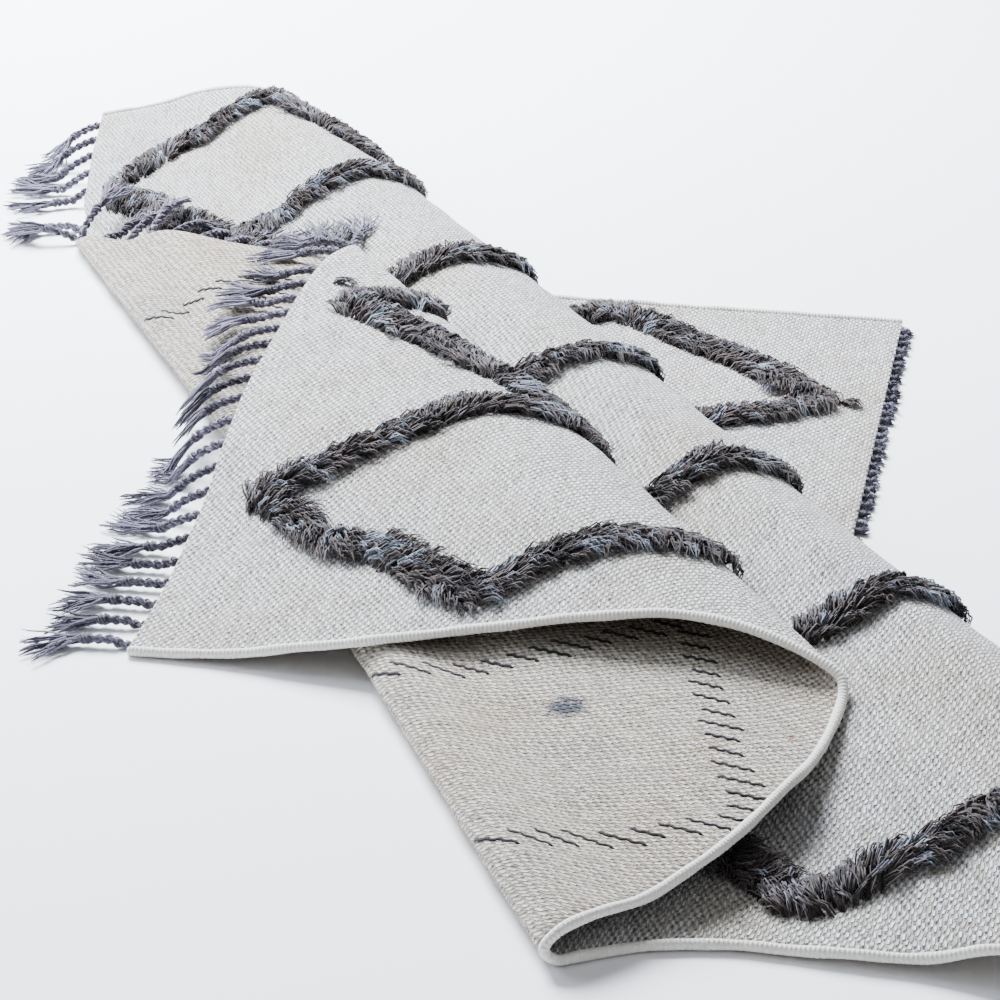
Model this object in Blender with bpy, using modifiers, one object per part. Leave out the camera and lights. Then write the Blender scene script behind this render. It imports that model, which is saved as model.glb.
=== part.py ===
"""A hand-woven wool rug with a shaggy diamond trellis, pulled up and left in loose folds on the floor.

The cloth is one flat rectangle. U runs along its warps, from the long fringe to the cut end, and V
runs along its wefts, from the near selvedge to the far one. The folds are parallel to one line
across the rug, so the shape is one back-and-forth section that changes slowly along the folds.
Metres, +Z up, the rug resting on z = 0 with the middle of its box over the origin.
"""
import math

import bmesh
import bpy
import numpy as np
from mathutils.bvhtree import BVHTree
from mathutils.kdtree import KDTree

# ---- the flat rug ----
LENGTH = 1.660          # along the warps, without fringe
WIDTH = 1.706           # along the wefts, selvedge to selvedge
THICK = 0.006           # the cloth
SELVEDGE = 0.009        # the cord that the wefts turn round at each side
SELVEDGE_BAND = 0.010
CLOTH_COLUMNS = 15

# ---- the shaggy trellis ----
HALF_LONG = 0.2565      # half a diamond, along the warps
HALF_WIDE = 0.2012      # half a diamond, along the wefts
END_MARGIN = 0.059      # fringe end to the first points of the diamonds
SIDE_MARGIN = 0.048     # selvedge to the first points
DIAMONDS_LONG = 3
DIAMONDS_WIDE = 4
SHORT_LINE = (7, -1)    # one falling line stops at its second crossing
SHORT_ENDS = 0.400      # along the warps
PILE_WIDE = 0.030
PILE_HIGH = 0.016       # above the face of the cloth

# ---- fringe ----
CORD_PITCH = 0.0395
FIRST_CORD = 0.018      # from the corner
CORD = 0.0076           # diameter of a plied cord
CORD_LONG = 0.036
KNOT_LONG = 0.014
KNOT = 0.014
BRUSH_LONG = 0.050
BRUSH = 0.020
STUB_LONG = 0.018
STRIP = 0.004
STRIP_THICK = 0.005
CLEAR_STRIP = 0.0009    # from the cloth's edge
CLEAR_FOLD = 0.0030     # and more round a tight fold
PILE_STEP = 0.045
PILE_TURN = math.cos(math.radians(12))
SAG = 9.0               # how fast a strand turns down, per metre

# ---- where the folds lie: across = square to them, along = down them ----
FOLD_TURN = math.radians(22)    # the folds' line is this far past the Y axis
WEAVE_TURN = math.radians(33)   # from the warps to the line across the folds
MIDDLE_ACROSS = 1.13196         # these two put the middle of the rug's box over the origin
MIDDLE_ALONG = 2.86046
CORNER_ALONG = 2.558            # the near fringe corner
FLAP_ACROSS = 0.668             # the near fringe corner, across
BASE_SHIFT = 0.622              # cloth distance less across, on the lowest layer
FLOOR_LAYER = THICK / 2

# A section of the folds at each of these places, and one row for each feature of a fold.
ALONG = (1.55, 1.96, 2.27, 2.565, 2.89, 3.215, 3.58, 4.12)
LOWER_FOLD = {          # lowest layer turning back under everything, at the left
    "across": (1.135, 1.118, 1.079, 1.040, 0.997, 0.997, 0.999, 1.000),
    "top":    (0.022, 0.022, 0.026, 0.027, 0.027, 0.027, 0.027, 0.027),
}
RIDGE = {               # the loose hump at the right
    "outer":    (1.364, 1.350, 1.337, 1.330, 1.323, 1.310, 1.296, 1.283),
    "outer_up": (0.054, 0.051, 0.049, 0.049, 0.049, 0.049, 0.049, 0.049),
    "crest":    (1.303, 1.289, 1.276, 1.262, 1.249, 1.242, 1.235, 1.222),
    "crest_up": (0.089, 0.089, 0.084, 0.081, 0.081, 0.078, 0.076, 0.074),
    "slope":    (1.238, 1.238, 1.231, 1.207, 1.188, 1.175, 1.168, 1.154),
    "slope_up": (0.070, 0.070, 0.068, 0.068, 0.066, 0.064, 0.062, 0.060),
    "foot_up":  (0.034, 0.034, 0.038, 0.039, 0.039, 0.039, 0.039, 0.039),
}
LEFT_FOLD = {           # the visible fold at the left
    "outer":     (0.790, 0.817, 0.837, 0.857, 0.884, 0.894, 0.902, 0.911),
    "under_up":  (0.003, 0.003, 0.003, 0.004, 0.008, 0.006, 0.003, 0.003),
    "top":       (0.029, 0.029, 0.029, 0.030, 0.034, 0.033, 0.030, 0.030),
    "valley":    (0.898, 0.911, 0.911, 0.918, 0.945, 0.930, 0.940, 0.950),
    "valley_up": (0.030, 0.030, 0.030, 0.034, 0.039, 0.036, 0.033, 0.032),
    "bank":      (0.965, 0.972, 0.979, 0.986, 0.992, 0.970, 0.975, 0.985),
    "bank_up":   (0.039, 0.039, 0.043, 0.050, 0.060, 0.062, 0.062, 0.062),
}
ROLL = {                # the big open roll over it all
    "inner":    (1.080, 1.080, 1.080, 1.080, 1.080, 1.067, 1.067, 1.067),
    "inner_up": (0.044, 0.046, 0.053, 0.057, 0.063, 0.065, 0.065, 0.065),
    "outer":    (1.193, 1.186, 1.179, 1.175, 1.164, 1.150, 1.141, 1.134),
    "outer_up": (0.070, 0.067, 0.067, 0.072, 0.075, 0.075, 0.074, 0.074),
    "turn":     (0.016, 0.013, 0.010, 0.011, 0.011, 0.010, 0.010, 0.010),
    "crown":    (1.114, 1.114, 1.107, 1.107, 1.100, 1.094, 1.080, 1.067),
    "crown_up": (0.111, 0.103, 0.092, 0.095, 0.094, 0.090, 0.088, 0.088),
    "mid":      (1.019, 1.019, 1.013, 0.999, 0.999, 0.999, 0.999, 0.999),
    "mid_up":   (0.097, 0.086, 0.078, 0.080, 0.084, 0.084, 0.082, 0.082),
    "edge":     (0.905, 0.905, 0.905, 0.905, 0.898, 0.918, 0.932, 0.932),
    "edge_up":  (0.058, 0.051, 0.047, 0.053, 0.067, 0.072, 0.072, 0.072),
    "slope":    (0.810, 0.810, 0.810, 0.810, 0.810, 0.837, 0.837, 0.837),
    "slope_up": (0.027, 0.024, 0.023, 0.025, 0.029, 0.032, 0.032, 0.032),
}
# The folds aren't quite square to the section: the cloth creeps along them.
CREEP = {"from": (0.89, 1.51), "over": (0.22, 0.35), "by": (0.061, -0.128)}
SKEW_NEAR, SKEW_FAR = -0.094, -0.125


def ease(x):
    x = np.clip(x, 0.0, 1.0)
    return x * x * (3 - 2 * x)


def hermite(a, b, slope_a, slope_b, t):
    return ((2 * t**3 - 3 * t**2 + 1) * a + (t**3 - 2 * t**2 + t) * slope_a
            + (-2 * t**3 + 3 * t**2) * b + (t**3 - t**2) * slope_b)


def smooth_between(xs, ys, x):
    """The value at x of a smooth curve through ys, which lie at xs."""
    xs = np.asarray(xs)
    ys = np.asarray(ys)
    slopes = np.gradient(ys, xs)
    i = int(np.clip(np.searchsorted(xs, x, side="right") - 1, 0, len(xs) - 2))
    span = xs[i + 1] - xs[i]
    return hermite(ys[i], ys[i + 1], slopes[i] * span, slopes[i + 1] * span, (x - xs[i]) / span)


def section_points(along):
    """The cloth's middle line at one place, as (across, up), from the lowest layer's far end to the toe."""
    def at(table):
        return {name: float(smooth_between(ALONG, row, along)) for name, row in table.items()}
    low, ridge, left, roll = at(LOWER_FOLD), at(RIDGE), at(LEFT_FOLD), at(ROLL)
    base = FLOOR_LAYER
    turn_low = (low["top"] - base) / 2
    turn_left = (left["top"] - left["under_up"]) / 2
    start = low["across"]
    tail = ridge["outer"] - 0.047
    bend = roll["turn"]
    return [
        (2.295, base), (1.890, base), (1.620, base), (1.458, base), (1.400, base),
        (start + 0.068, base), (start + 0.016, base), (start, base + turn_low),
        (start + 0.016, low["top"]), (start + 0.068, low["top"]),
        ((start + 0.068 + tail) / 2, low["top"]), (tail, low["top"]),
        (ridge["outer"], ridge["outer_up"]), (ridge["crest"], ridge["crest_up"]),
        (ridge["slope"], ridge["slope_up"]),
        (ridge["slope"] * 0.55 + 0.486, ridge["slope_up"] * 0.35 + ridge["foot_up"] * 0.65),
        (start + 0.020, ridge["foot_up"]), (start - 0.014, ridge["foot_up"] * 0.78),
        (start - 0.048, ridge["foot_up"] * 0.30 + left["under_up"] * 0.70),
        (left["outer"] + 0.040, left["under_up"]), (left["outer"] + 0.014, left["under_up"]),
        (left["outer"], left["under_up"] + turn_left), (left["outer"] + 0.014, left["top"]),
        (left["valley"], left["valley_up"]), (left["bank"], left["bank_up"]),
        (roll["inner"], roll["inner_up"]), (roll["outer"] - 0.8 * bend, roll["outer_up"] - 0.9 * bend),
        (roll["outer"], roll["outer_up"]), (roll["outer"] - 0.8 * bend, roll["outer_up"] + 0.9 * bend),
        (roll["crown"], roll["crown_up"]), (roll["mid"], roll["mid_up"]),
        (roll["edge"], roll["edge_up"]), (roll["slope"], roll["slope_up"]),
        (0.736, base + 0.005), (0.675, base), (0.567, base), (0.270, base),
    ]


LOWER_TURN, LEFT_TURN = 7, 21   # places in that list
STEPS = 12


def smooth_line(points):
    """An even curve through the points, with STEPS points to each span."""
    p = np.asarray(points, float)
    p = np.vstack([2 * p[0] - p[1], p, 2 * p[-1] - p[-2]])
    t = np.linspace(0, 1, STEPS, endpoint=False)[:, None]
    out = []
    for i in range(1, len(p) - 2):
        before, here, there, after = p[i - 1], p[i], p[i + 1], p[i + 2]
        d0, d1, d2 = (max(np.linalg.norm(v), 1e-9) ** 0.5
                      for v in (here - before, there - here, after - there))
        m0 = ((here - before) / d0 - (there - before) / (d0 + d1) + (there - here) / d1) * d1
        m1 = ((there - here) / d1 - (after - here) / (d1 + d2) + (after - there) / d2) * d1
        out.append(hermite(here, there, m0, m1, t))
    out.append(p[-2:-1])
    return np.vstack(out)


S_GRID = np.linspace(-0.18, 2.44, 1049)
A_GRID = np.linspace(1.48, 4.20, 103)


def fold_tables():
    """Across and up for every cloth distance S (rows: places along the folds)."""
    across = np.zeros((len(A_GRID), len(S_GRID)))
    up = np.zeros_like(across)
    for k, along in enumerate(A_GRID):
        line = smooth_line(section_points(along))
        run = np.concatenate([[0.0], np.cumsum(np.hypot(*np.diff(line, axis=0).T))])
        s = line[0, 0] + BASE_SHIFT - run
        toe = slice(len(line) - 5 * STEPS, len(line))
        miss = np.interp(-FLAP_ACROSS, -line[toe, 0], s[toe])
        right, left = LOWER_TURN * STEPS, LEFT_TURN * STEPS
        s = s - miss * np.clip((run - run[right]) / (run[left] - run[right]), 0, 1)
        across[k] = np.interp(S_GRID, s[::-1], line[::-1, 0])
        up[k] = np.maximum(np.interp(S_GRID, s[::-1], line[::-1, 1]), FLOOR_LAYER)
    return across, up


ACROSS, UP = fold_tables()


def look_up(table, along, s):
    i = np.clip((along - A_GRID[0]) / (A_GRID[1] - A_GRID[0]), 0, len(A_GRID) - 1.001)
    j = np.clip((s - S_GRID[0]) / (S_GRID[1] - S_GRID[0]), 0, len(S_GRID) - 1.001)
    i0, j0 = i.astype(int), j.astype(int)
    fi, fj = i - i0, j - j0
    near = table[i0, j0] * (1 - fj) + table[i0, j0 + 1] * fj
    far = table[i0 + 1, j0] * (1 - fj) + table[i0 + 1, j0 + 1] * fj
    return near * (1 - fi) + far * fi


def creep(s, along):
    total = 0.0
    for start, over, by in zip(CREEP["from"], CREEP["over"], CREEP["by"]):
        total = total + by * ease((s - start) / over)
    skew = SKEW_NEAR + (SKEW_FAR - SKEW_NEAR) * ease((along - 2.295) / 1.08)
    return total + skew * ease((s - 0.405) / 0.23) * ease((1.026 - s) / 0.324)


def to_folds(u, v):
    """Cloth distance across the folds, and along them."""
    s = math.cos(WEAVE_TURN) * u + math.sin(WEAVE_TURN) * v
    along = -math.sin(WEAVE_TURN) * u + math.cos(WEAVE_TURN) * v + CORNER_ALONG
    return s, along


def from_folds(s, along):
    a = along - CORNER_ALONG
    return (math.cos(WEAVE_TURN) * s - math.sin(WEAVE_TURN) * a,
            math.sin(WEAVE_TURN) * s + math.cos(WEAVE_TURN) * a)


def laid(u, v, lift=0.0):
    """The cloth's middle surface where it lies, for flat places u, v."""
    u, v = np.broadcast_arrays(np.asarray(u, float), np.asarray(v, float))
    s, along = to_folds(u, v)
    n = look_up(ACROSS, along, s) - MIDDLE_ACROSS
    z = look_up(UP, along, s)
    a = along + creep(s, along) - MIDDLE_ALONG
    c, d = math.cos(FOLD_TURN), math.sin(FOLD_TURN)
    return np.stack([n * c - a * d, n * d + a * c, z + lift], -1)


def face_out(u, v, step=0.004):
    """The direction out of the rug's face (its pile side) at u, v."""
    du = laid(np.asarray(u) + step, v) - laid(np.asarray(u) - step, v)
    dv = laid(u, np.asarray(v) + step) - laid(u, np.asarray(v) - step)
    normal = np.cross(du, dv)
    return normal / np.linalg.norm(normal, axis=-1, keepdims=True)


# ==== build ====
def clear_scene():
    for obj in list(bpy.data.objects):
        bpy.data.objects.remove(obj, do_unlink=True)


def srgb(code):
    """A hex colour as linear values."""
    values = [int(code[i:i + 2], 16) / 255 for i in (0, 2, 4)]
    return [c / 12.92 if c <= 0.04045 else ((c + 0.055) / 1.055) ** 2.4 for c in values] + [1.0]


def wool(name, code, rough):
    material = bpy.data.materials.new(name)
    material.use_nodes = True
    shader = material.node_tree.nodes["Principled BSDF"]
    shader.inputs["Base Color"].default_value = srgb(code)
    shader.inputs["Roughness"].default_value = rough
    shader.inputs["Metallic"].default_value = 0.0
    return material


def mesh_object(name, bm, collection, material):
    mesh = bpy.data.meshes.new(name)
    bm.to_mesh(mesh)
    bm.free()
    mesh.materials.append(material)
    obj = bpy.data.objects.new(name, mesh)
    collection.objects.link(obj)
    return obj


def rows_of_cloth():
    """Cloth distances of the mesh's rows: close in the folds, wide on the flats, exact at the corners."""
    near_far = (0.0, math.cos(WEAVE_TURN) * LENGTH + math.sin(WEAVE_TURN) * WIDTH)
    corners = (math.sin(WEAVE_TURN) * WIDTH, math.cos(WEAVE_TURN) * LENGTH)
    stops = [
        (near_far[0], 0.42, 0.045), (0.42, 0.61, 0.0145), (0.61, 0.73, 0.030),
        (0.73, corners[0], 0.0120), (corners[0], 0.97, 0.0120), (0.97, 1.15, 0.022),
        (1.15, corners[1], 0.016), (corners[1], 1.55, 0.016), (1.55, 1.80, 0.0120),
        (1.80, near_far[1], 0.050),
    ]
    rows = []
    for low, high, step in stops:
        count = max(1, round((high - low) / step))
        rows += [low + (high - low) * k / count for k in range(count)]
    return rows + [near_far[1]]


def cloth_between(s):
    """The two ends of a row across the flat rug, along the folds."""
    c, d = math.cos(WEAVE_TURN), math.sin(WEAVE_TURN)
    low = max(-s * d / c, (c * s - LENGTH) / d)
    high = min(s * c / d, (WIDTH - d * s) / c)
    return CORNER_ALONG + low, CORNER_ALONG + high


def column_places(low, high, count):
    """Places along one row: the selvedge cord's two edges at each end, and even steps between."""
    cord = min(SELVEDGE_BAND / 2, (high - low) / 8)
    field = min(SELVEDGE_BAND, (high - low) / 4)
    inner = [low + field + (high - low - 2 * field) * k / (count - 5) for k in range(count - 4)]
    return [low, low + cord] + inner + [high - cord, high]


def make_cloth(collection, material):
    rows = rows_of_cloth()
    places = [column_places(*cloth_between(s), CLOTH_COLUMNS) for s in rows]
    bm = bmesh.new()
    thickness = bm.verts.layers.deform.verify()
    bmesh.ops.create_grid(bm, x_segments=CLOTH_COLUMNS - 1, y_segments=len(rows) - 1, size=1.0)
    for vert in bm.verts:
        column = round((vert.co.x + 1) / 2 * (CLOTH_COLUMNS - 1))
        row = round((vert.co.y + 1) / 2 * (len(rows) - 1))
        u, v = from_folds(rows[row], places[row][column])
        u, v = min(max(u, 0.0), LENGTH), min(max(v, 0.0), WIDTH)
        selvedge = min(v, WIDTH - v) < 0.6 * SELVEDGE_BAND
        vert.co = laid(u, v, (SELVEDGE - THICK) / 2 if selvedge else 0.0)
        vert[thickness][0] = 1.0 if selvedge else THICK / SELVEDGE
    bmesh.ops.remove_doubles(bm, verts=bm.verts, dist=1e-5)
    if sum(face.normal.z for face in bm.faces if face.calc_center_median().x > 0.4) < 0:
        bmesh.ops.reverse_faces(bm, faces=bm.faces)
    obj = mesh_object("rug_cloth", bm, collection, material)
    obj.vertex_groups.new(name="thickness")
    solid = obj.modifiers.new("thickness", "SOLIDIFY")
    solid.thickness = SELVEDGE
    solid.offset = 0.0
    solid.vertex_group = "thickness"
    return obj


def pile_lines():
    """The trellis on the flat rug: every straight line as (u, v) at its two ends."""
    low, high = SIDE_MARGIN, SIDE_MARGIN + 2 * DIAMONDS_WIDE * HALF_WIDE
    span = 2 * DIAMONDS_LONG * HALF_LONG
    lines = []
    for start in range(-2 * DIAMONDS_LONG + 1, 2 * (DIAMONDS_WIDE + DIAMONDS_LONG), 2):
        for slope in (1, -1):
            def at(u, start=start, slope=slope):
                return SIDE_MARGIN + (start + slope * (u - END_MARGIN) / HALF_LONG) * HALF_WIDE
            ends = []
            for u in (END_MARGIN, END_MARGIN + span):
                if low - 1e-9 <= at(u) <= high + 1e-9:
                    ends.append((u, at(u)))
            for v in (low, high):
                u = END_MARGIN + slope * ((v - SIDE_MARGIN) / HALF_WIDE - start) * HALF_LONG
                if END_MARGIN + 1e-9 < u < END_MARGIN + span - 1e-9:
                    ends.append((u, v))
            if len(ends) == 2:
                ends = sorted(ends)
                if (start, slope) == SHORT_LINE:
                    ends[1] = (SHORT_ENDS, at(SHORT_ENDS))
                lines.append(ends)
    return lines


def loft(rings, name, collection, material):
    """A closed solid through rings of points, all with the same count."""
    bm = bmesh.new()
    loops = [[bm.verts.new(point) for point in ring] for ring in rings]
    for here, there in zip(loops, loops[1:]):
        for k in range(len(here)):
            m = (k + 1) % len(here)
            bm.faces.new((here[k], here[m], there[m], there[k]))
    bm.faces.new(loops[0][::-1])
    bm.faces.new(loops[-1])
    bmesh.ops.recalc_face_normals(bm, faces=bm.faces)
    return mesh_object(name, bm, collection, material)


def cloth_samples():
    """Every 9 mm of the laid cloth, flat and in place, with a tree over the ground plan."""
    u, v = np.meshgrid(np.arange(0, LENGTH + 0.004, 0.009), np.arange(0, WIDTH + 0.004, 0.009), indexing="ij")
    flat = np.stack([u.ravel(), v.ravel()], -1)
    place = laid(flat[:, 0], flat[:, 1])
    tree = KDTree(len(flat))
    for k, (x, y, _) in enumerate(place):
        tree.insert((x, y, 0), k)
    tree.balance()
    return tree, flat, place


def open_face(u, v, samples, strands):
    """How high pile stands at u, v: nothing where the face looks down or something lies over it."""
    tree, flat, place = samples
    base, out = laid(u, v), face_out(u, v)
    if out[2] < 0.45:
        return 0.0
    near = tree.find_range((base[0], base[1], 0), 0.030)
    other = [k for _, k, _ in near if math.dist(flat[k], (u, v)) > 0.12]
    if any(place[k][2] > base[2] + 0.004 for k in other):
        return 0.0
    if any(math.dist(base, point) < 0.036 for point in strands):
        return 0.0
    return PILE_HIGH


def pile_ring(u, v, direction, high, wide, middle):
    """A ring across a pile line, sunk to the middle of the cloth's mesh."""
    side = np.array([-direction[1], direction[0]])
    ring = []
    for across, up in ((-0.5, 0.0), (-0.42, 0.55), (-0.02, 1.0), (0.42, 0.60), (0.5, 0.0), (0.0, 0.0)):
        place = np.array([u, v]) + side * across * wide
        rise = (THICK / 2 + high) * up - 0.0014
        ring.append(np.array(middle.find_nearest(laid(*place))[0]) + face_out(*place) * rise)
    return ring


def make_pile(cloth, samples, strands, collection, material):
    """Raised bands along the trellis wherever the rug's face lies open."""
    points = [v.co[:] for v in cloth.data.vertices]
    middle = BVHTree.FromPolygons(points, [f.vertices[:] for f in cloth.data.polygons])
    random = np.random.default_rng(7)
    count = 0
    for (u0, v0), (u1, v1) in pile_lines():
        length = math.dist((u0, v0), (u1, v1))
        direction = np.array([u1 - u0, v1 - v0]) / length
        steps = round(length / 0.006)
        rings, last = [], None
        for k in range(steps + 1):
            place = np.array([u0, v0]) + direction * (0.008 + (length - 0.016) * k / steps)
            high = open_face(*place, samples, strands)
            if high > 0:
                out = face_out(*place)
                turned = last is None or math.dist(place, last[0]) > PILE_STEP or out @ last[1] < PILE_TURN
                if turned or k == steps:
                    uneven = random.uniform(0.88, 1.12)
                    rings.append(pile_ring(*place, direction, high, PILE_WIDE * uneven, middle))
                    last = (place, out)
            if (high == 0 or k == steps) and rings:
                if len(rings) > 1:
                    loft(rings, f"pile_{count}", collection, material)
                    count += 1
                rings, last = [], None


def support(x, y, top, samples):
    """The height that a strand lies on here: the highest layer under it, or the floor."""
    tree, _, place = samples
    near = tree.find_range((x, y, 0), 0.010)
    under = [place[k][2] + THICK / 2 for _, k, _ in near if place[k][2] < top + 0.010]
    return max(under, default=0.0)


def strand_path(end, v, toward, swing, length, clear, samples):
    """A stiff strand from the cloth's edge: it leaves along the cloth, sags, and lies on what is under it."""
    point = laid(end, v)
    heading = laid(end + toward * 0.004, v) - laid(end - toward * 0.004, v)
    heading /= np.linalg.norm(heading)
    aside = np.cross((0, 0, 1), heading)
    step, points = 0.004, []
    for k in range(round(length / step) + 2):
        points.append(point.copy())
        heading = heading + aside * swing * step / 0.01 + np.array([0, 0, -SAG * step])
        heading /= np.linalg.norm(heading)
        point = point + heading * step
        rest = support(point[0], point[1], point[2], samples) + clear
        if k > 1 and point[2] < rest:
            point[2] = min(rest, point[2] + 0.8 * step)
            heading[2] = max(heading[2], 0.0)
    return np.array(points), step


def box_ring(path, step, reach, wide, thick):
    """A four-sided ring across a strand at this reach along its path, never under the floor."""
    k = min(int(reach / step), len(path) - 2)
    centre = path[k] + (path[k + 1] - path[k]) * (reach / step - k)
    ahead = path[k + 1] - path[max(k - 1, 0)]
    ahead = ahead / np.linalg.norm(ahead)
    side = np.cross((0, 0, 1), ahead)
    side /= np.linalg.norm(side)
    out = np.cross(ahead, side)
    centre[2] = max(centre[2], thick / 2 * abs(out[2]) + 0.0003)
    return [centre + side * wide * a + out * thick * b
            for a, b in ((-0.5, -0.5), (0.5, -0.5), (0.5, 0.5), (-0.5, 0.5))]


def edge_places(end, low, high):
    """Places along an end of the rug where the cloth's rows meet it, so that the strip bends with it."""
    c, d = math.cos(WEAVE_TURN), math.sin(WEAVE_TURN)
    found = [(s - c * end) / d for s in rows_of_cloth()]
    return [low] + [v for v in found if low + 0.003 < v < high - 0.003] + [high]


def make_fringe(name, end, low, high, strand, samples, collection, cutters, material):
    """A run of strands fused at their roots into a narrow strip along an end of the rug."""
    toward = -1 if end == 0 else 1
    rings = []
    for v in edge_places(end, low, high):
        bend = 1 - face_out(end, v - 0.012) @ face_out(end, v + 0.012)
        inner = end + toward * (CLEAR_STRIP + CLEAR_FOLD * min(1.0, bend / 0.05))
        outer = inner + toward * STRIP
        ring = []
        for u, up in ((inner, -0.5), (outer, -0.5), (outer, 0.5), (inner, 0.5)):
            ring.append(laid(u, v) + face_out(u, v) * up * STRIP_THICK)
        rings.append(ring)
    strip = loft(rings, name, collection, material)
    random = np.random.default_rng(int(100 * low) + 3)
    strands = bpy.data.collections.new(name + "_strands")
    cutters.children.link(strands)
    lying = []
    for k in range(round(WIDTH / CORD_PITCH)):
        v = FIRST_CORD + k * CORD_PITCH
        if not low + 0.005 < v < high - 0.005:
            continue
        swing, long = random.uniform(-0.03, 0.03), random.uniform(0.88, 1.1)
        clear = max(thick for _, _, thick in strand) / 2 + 0.0008
        path, step = strand_path(end, v, toward, swing, strand[-1][0] * long, clear, samples)
        lying += [point for point in path[3::3]]
        rings = [box_ring(path, step, reach * long, wide, thick) for reach, wide, thick in strand]
        loft(rings, f"{name}_{k}", strands, material)
    joined = strip.modifiers.new("strands", "BOOLEAN")
    joined.operation = "UNION"
    joined.operand_type = "COLLECTION"
    joined.collection = strands
    joined.solver = "MANIFOLD"
    keep_outer_shell(strip)
    return lying


def keep_outer_shell(obj):
    """Applies the modifiers and leaves out the closed pockets under the pile that the union made."""
    mesh = bpy.data.meshes.new_from_object(obj.evaluated_get(bpy.context.evaluated_depsgraph_get()))
    bm = bmesh.new()
    bm.from_mesh(mesh)
    bmesh.ops.triangulate(bm, faces=bm.faces)
    left, shells = set(bm.faces), []
    while left:
        shell, reached = [], [left.pop()]
        while reached:
            face = reached.pop()
            shell.append(face)
            for edge in face.edges:
                for other in edge.link_faces if len(edge.link_faces) == 2 else ():
                    if other in left:
                        left.discard(other)
                        reached.append(other)
        shells.append(shell)
    shells.sort(key=len)
    for shell in shells[:-1]:
        bmesh.ops.delete(bm, geom=shell, context="FACES")
    bm.to_mesh(mesh)
    bm.free()
    obj.modifiers.clear()
    obj.data = mesh


# Strands as (distance from the cloth's edge, width, thickness).
LONG_CORD = (
    (0.0041, 0.0064, 0.0060), (0.0100, CORD, CORD), (CORD_LONG, CORD, CORD),
    (CORD_LONG + 0.5 * KNOT_LONG, KNOT, 0.8 * KNOT), (CORD_LONG + KNOT_LONG, CORD, 0.8 * CORD),
    (CORD_LONG + KNOT_LONG + 0.6 * BRUSH_LONG, BRUSH, 0.8 * CORD),
    (CORD_LONG + KNOT_LONG + BRUSH_LONG, 0.6 * BRUSH, 0.004),
)
SHORT_STUB = ((0.0041, 0.0064, 0.0058), (0.0080, 0.0085, 0.0064), (STUB_LONG, 0.0055, 0.0040))


if __name__ == "__main__":
    clear_scene()
    parts = bpy.data.collections.new("trellis_rug")
    bpy.context.scene.collection.children.link(parts)
    helpers = bpy.data.collections.new("rug_helpers")
    bpy.context.scene.collection.children.link(helpers)
    helpers.hide_render = True
    ivory = wool("ivory_wool", "d8d5cc", 0.9)
    charcoal = wool("charcoal_pile", "4a4648", 0.95)
    cloth = make_cloth(parts, ivory)
    samples = cloth_samples()
    strands = []
    long_runs = (("fringe_flap", 0.012, 0.81), ("fringe_roll", 0.81, 1.45),
                 ("fringe_left", 1.505, WIDTH - 0.012))
    for name, low, high in long_runs:
        strands += make_fringe(name, 0.0, low + 0.0005, high - 0.0005, LONG_CORD, samples, parts, helpers,
                               wool(name + "_wool", "8d8796", 0.9))
    for name, low, high in (("stubs_ridge", 0.012, 0.535), ("stubs_floor", 0.60, WIDTH - 0.012)):
        make_fringe(name, LENGTH, low + 0.0005, high - 0.0005, SHORT_STUB, samples, parts, helpers,
                    wool(name + "_wool", "4d4a5a", 0.9))
    ridges = bpy.data.collections.new("pile_ridges")
    helpers.children.link(ridges)
    make_pile(cloth, samples, strands, ridges, charcoal)
    raised = cloth.modifiers.new("pile", "BOOLEAN")
    raised.operation = "UNION"
    raised.operand_type = "COLLECTION"
    raised.collection = ridges
    raised.solver = "MANIFOLD"
    keep_outer_shell(cloth)
    for helper in helpers.all_objects:
        helper.hide_render = True
        helper.display_type = "WIRE"
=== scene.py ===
"""A hand-woven wool rug with a shaggy diamond trellis, pulled up and left in loose folds on the floor.

The cloth is one flat rectangle: U runs along its warps, from the long fringe to the cut end, and V
along its wefts, from the near selvedge to the far one. Everything on it is placed by U and V.
"""
import math

import bpy
import numpy as np
from mathutils.kdtree import KDTree
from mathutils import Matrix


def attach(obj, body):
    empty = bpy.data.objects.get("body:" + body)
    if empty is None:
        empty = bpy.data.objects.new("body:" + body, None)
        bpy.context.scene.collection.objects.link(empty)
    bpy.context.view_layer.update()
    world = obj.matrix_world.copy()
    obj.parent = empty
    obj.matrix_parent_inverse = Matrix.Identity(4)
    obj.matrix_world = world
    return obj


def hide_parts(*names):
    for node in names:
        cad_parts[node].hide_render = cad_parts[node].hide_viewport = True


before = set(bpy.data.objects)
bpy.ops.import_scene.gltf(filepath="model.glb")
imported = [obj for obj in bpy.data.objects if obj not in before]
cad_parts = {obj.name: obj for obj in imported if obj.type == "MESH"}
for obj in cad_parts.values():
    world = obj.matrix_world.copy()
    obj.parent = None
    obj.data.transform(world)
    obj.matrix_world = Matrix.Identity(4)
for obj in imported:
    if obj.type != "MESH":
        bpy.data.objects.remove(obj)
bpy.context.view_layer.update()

# ==== The cloth ====
# One rectangle of hand-spun, undyed wool in plain weave: thick ivory wefts beaten down over thinner
# grey warps, 6 mm thick. It was woven in one piece, and it only lies here, in four loose folds.
LENGTH = 1.660          # along the warps, without fringe
WIDTH = 1.706           # along the wefts, selvedge to selvedge
THICK = 0.006
FOLD_TURN = math.radians(22)    # the folds' line is this far past the Y axis
WEAVE_TURN = math.radians(33)   # from the warps to the line across the folds
MIDDLE_ACROSS = 1.13196         # these two put the middle of the rug's box over the origin
MIDDLE_ALONG = 2.86046
CORNER_ALONG = 2.558            # the near fringe corner
FLAP_ACROSS = 0.668             # the near fringe corner, across
BASE_SHIFT = 0.622              # cloth distance less across, on the lowest layer
FLOOR_LAYER = THICK / 2

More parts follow.
